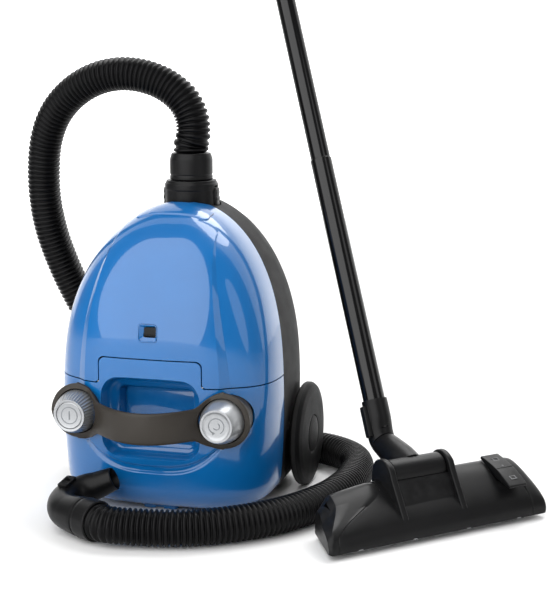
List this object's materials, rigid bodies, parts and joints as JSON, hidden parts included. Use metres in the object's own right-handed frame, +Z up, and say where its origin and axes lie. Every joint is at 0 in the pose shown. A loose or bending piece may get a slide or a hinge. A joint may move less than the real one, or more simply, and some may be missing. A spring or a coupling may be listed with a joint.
{
  "type": "canister vacuum cleaner",
  "caption": "Upright-parked canister vacuum cleaner with two-tone shell, bowed handle, ribbed hose with bent grip, two-piece wand and rocker-pedal floor tool.",
  "frame": {"origin": "on the floor under the canister, in its middle plane, on the flat pad it is parked on", "axes": "+Z up; -Y is the blue side with the handle, +Y the wheel and caster side; +X to the right as seen from the blue side"},
  "size_m": [0.6974, 0.4573, 0.8242],
  "materials": {
    "blue_gloss": "glossy blue moulding",
    "black_matte": "fine-textured black moulding",
    "black_gloss": "glossy black enamel tube",
    "handle_brown": "dark brown-grey moulding",
    "silver": "silver lacquered plastic",
    "hose_black": "ribbed flexible hose",
    "rubber": "soft black rubber",
    "steel": "plain steel",
    "filter_white": "non-woven filter cloth",
    "white_plastic": "plain white plastic",
    "grey_plastic": "plain grey plastic",
    "copper": "enamelled copper winding",
    "smoked": "smoked clear window"
  },
  "bodies": {
    "canister": {"base_shell": "black_matte", "rear_cover": "blue_gloss", "carry_handle": "handle_brown", "power_switch": "grey_plastic", "rewind_lever": "white_plastic", "axle_left": "steel", "axle_right": "steel", "caster_housing": "black_matte", "inlet_socket": "black_matte", "inlet_seal": "rubber", "bulkhead": "black_matte", "motor_filter": "filter_white", "motor_housing": "white_plastic", "motor_winding": "copper", "motor_seal": "rubber", "reel_spindle": "steel", "exhaust_filter": "filter_white", "exhaust_grille": "black_matte", "bag_plate": "white_plastic", "dust_bag": "filter_white", "hose_collar": "black_matte", "hose": "hose_black"},
    "lid": {"dust_lid": "blue_gloss", "indicator_lens": "smoked", "lid_hinge_pin_left": "steel", "lid_hinge_pin_right": "steel"},
    "lid_latch": {"lid_latch": "blue_gloss"},
    "power_knob": {"power_knob": "silver"},
    "power_button": {"power_button": "silver"},
    "rewind_button": {"rewind_button": "silver"},
    "wheel_left": {"wheel_left": "black_matte", "hub_cap_left": "black_matte"},
    "wheel_right": {"wheel_right": "black_matte", "hub_cap_right": "black_matte"},
    "caster_fork": {"caster_fork": "black_matte", "caster_pin": "steel"},
    "caster_wheel": {"caster_wheel": "rubber"},
    "motor_rotor": {"motor_shaft": "steel", "motor_fan": "grey_plastic"},
    "cord_reel": {"cord_reel": "grey_plastic"},
    "latch_left": {"collar_latch_left": "black_matte"},
    "latch_right": {"collar_latch_right": "black_matte"},
    "cuff": {"hose_cuff": "black_matte"},
    "grip": {"hose_grip": "black_matte"},
    "suction_slider": {"suction_slider": "black_matte"},
    "floor_tool": {"tool_housing": "black_matte", "soleplate": "black_matte", "tool_roller_pin_left": "steel", "tool_roller_pin_right": "steel"},
    "tool_roller_left": {"tool_roller_left": "rubber"},
    "tool_roller_right": {"tool_roller_right": "rubber"},
    "pedal": {"tool_pedal": "black_matte"},
    "brushes": {"brush_strip_front": "rubber", "brush_strip_rear": "rubber"},
    "elbow": {"neck_elbow": "black_matte"},
    "sleeve": {"neck_sleeve": "black_matte", "lower_tube": "black_gloss"},
    "upper_tube": {"upper_tube": "black_gloss"}
  },
  "joints": [
    {"name": "lid_hinge", "type": "hinge", "parent": "canister", "child": "lid", "pos_m": [0, -0.0926, 0.162], "axis": [1, 0, 0], "range_deg": [0, 62]},
    {"name": "lid_latch_press", "type": "slide", "parent": "lid", "child": "lid_latch", "axis": [0, 0.6, -0.8], "range_m": [0, 0.002], "stiffness_N_per_m": 400, "springref_m": -0.001},
    {"name": "power_knob_turn", "type": "hinge", "parent": "canister", "child": "power_knob", "pos_m": [-0.092, -0.1, 0.1245], "axis": [0, 1, 0], "range_deg": [0, 270]},
    {"name": "power_button_press", "type": "slide", "parent": "canister", "child": "power_button", "axis": [0, 1, 0], "range_m": [0, 0.004], "stiffness_N_per_m": 300, "springref_m": -0.001},
    {"name": "rewind_button_press", "type": "slide", "parent": "canister", "child": "rewind_button", "axis": [0, 1, 0], "range_m": [0, 0.005], "stiffness_N_per_m": 300, "springref_m": -0.001},
    {"name": "wheel_left_roll", "type": "hinge", "parent": "canister", "child": "wheel_left", "pos_m": [-0.147, 0.086, 0.0665], "axis": [1, 0, 0], "continuous": true},
    {"name": "wheel_right_roll", "type": "hinge", "parent": "canister", "child": "wheel_right", "pos_m": [0.147, 0.086, 0.0665], "axis": [1, 0, 0], "continuous": true},
    {"name": "caster_swivel", "type": "hinge", "parent": "canister", "child": "caster_fork", "pos_m": [0, 0.1305, 0.28], "axis": [0, 1, 0], "continuous": true},
    {"name": "caster_roll", "type": "hinge", "parent": "caster_fork", "child": "caster_wheel", "pos_m": [0, 0.152, 0.267], "axis": [1, 0, 0], "continuous": true},
    {"name": "motor_spin", "type": "hinge", "parent": "canister", "child": "motor_rotor", "pos_m": [-0.028, 0.05, 0.1], "axis": [0, 0, 1], "continuous": true},
    {"name": "cord_reel_spin", "type": "hinge", "parent": "canister", "child": "cord_reel", "pos_m": [0.068, 0.03, 0.09], "axis": [0, 1, 0], "continuous": true},
    {"name": "latch_left_press", "type": "slide", "parent": "canister", "child": "latch_left", "axis": [1, 0, 0], "range_m": [0, 0.0018], "stiffness_N_per_m": 300, "springref_m": -0.001},
    {"name": "latch_right_press", "type": "slide", "parent": "canister", "child": "latch_right", "axis": [-1, 0, 0], "range_m": [0, 0.0018], "stiffness_N_per_m": 300, "springref_m": -0.001},
    {"name": "cuff_turn", "type": "hinge", "parent": "canister", "child": "cuff", "pos_m": [0, 0.064, 0.4], "axis": [0, 0, 1], "continuous": true},
    {"name": "grip_swivel", "type": "hinge", "parent": "canister", "child": "grip", "pos_m": [-0.025, -0.199, 0.0242], "axis": [-0.9063, 0.4226, 0], "range_deg": [0, 60]},
    {"name": "suction_slide", "type": "slide", "parent": "grip", "child": "suction_slider", "axis": [0.1444, 0.9663, 0.2132], "range_m": [-0.005, 0.005]},
    {"name": "tool_glide", "type": "slide", "parent": "canister", "child": "floor_tool", "axis": [0.7193, -0.6947, 0], "range_m": [0, 0.12]},
    {"name": "tool_roller_left_roll", "type": "hinge", "parent": "floor_tool", "child": "tool_roller_left", "pos_m": [0.23733, -0.1011, 0.008], "axis": [0.6947, 0.7193, 0], "continuous": true},
    {"name": "tool_roller_right_roll", "type": "hinge", "parent": "floor_tool", "child": "tool_roller_right", "pos_m": [0.36931, 0.03558, 0.008], "axis": [0.6947, 0.7193, 0], "continuous": true},
    {"name": "pedal_rock", "type": "hinge", "parent": "floor_tool", "child": "pedal", "pos_m": [0.40635, 0.02066, 0.0555], "axis": [0.6947, 0.7193, 0], "range_deg": [0, 10]},
    {"name": "brush_drop", "type": "slide", "parent": "floor_tool", "child": "brushes", "axis": [0, 0, -1], "range_m": [0, 0.001]},
    {"name": "neck_tilt", "type": "hinge", "parent": "floor_tool", "child": "elbow", "pos_m": [0.30997, -0.04891, 0.069], "axis": [0.6947, 0.7193, 0], "range_deg": [-6, 52]},
    {"name": "neck_swivel", "type": "hinge", "parent": "elbow", "child": "sleeve", "pos_m": [0.26525, -0.00573, 0.088], "axis": [-0.6033, 0.5826, 0.5446], "range_deg": [-15, 70]},
    {"name": "wand_pull", "type": "slide", "parent": "sleeve", "child": "upper_tube", "axis": [-0.2926, 0.2825, 0.9135], "range_m": [0, 0.03]}
  ],
  "couplings": [
    {"joint": "brush_drop", "follows": "pedal_rock", "m_per_rad": 0.00573}
  ]
}
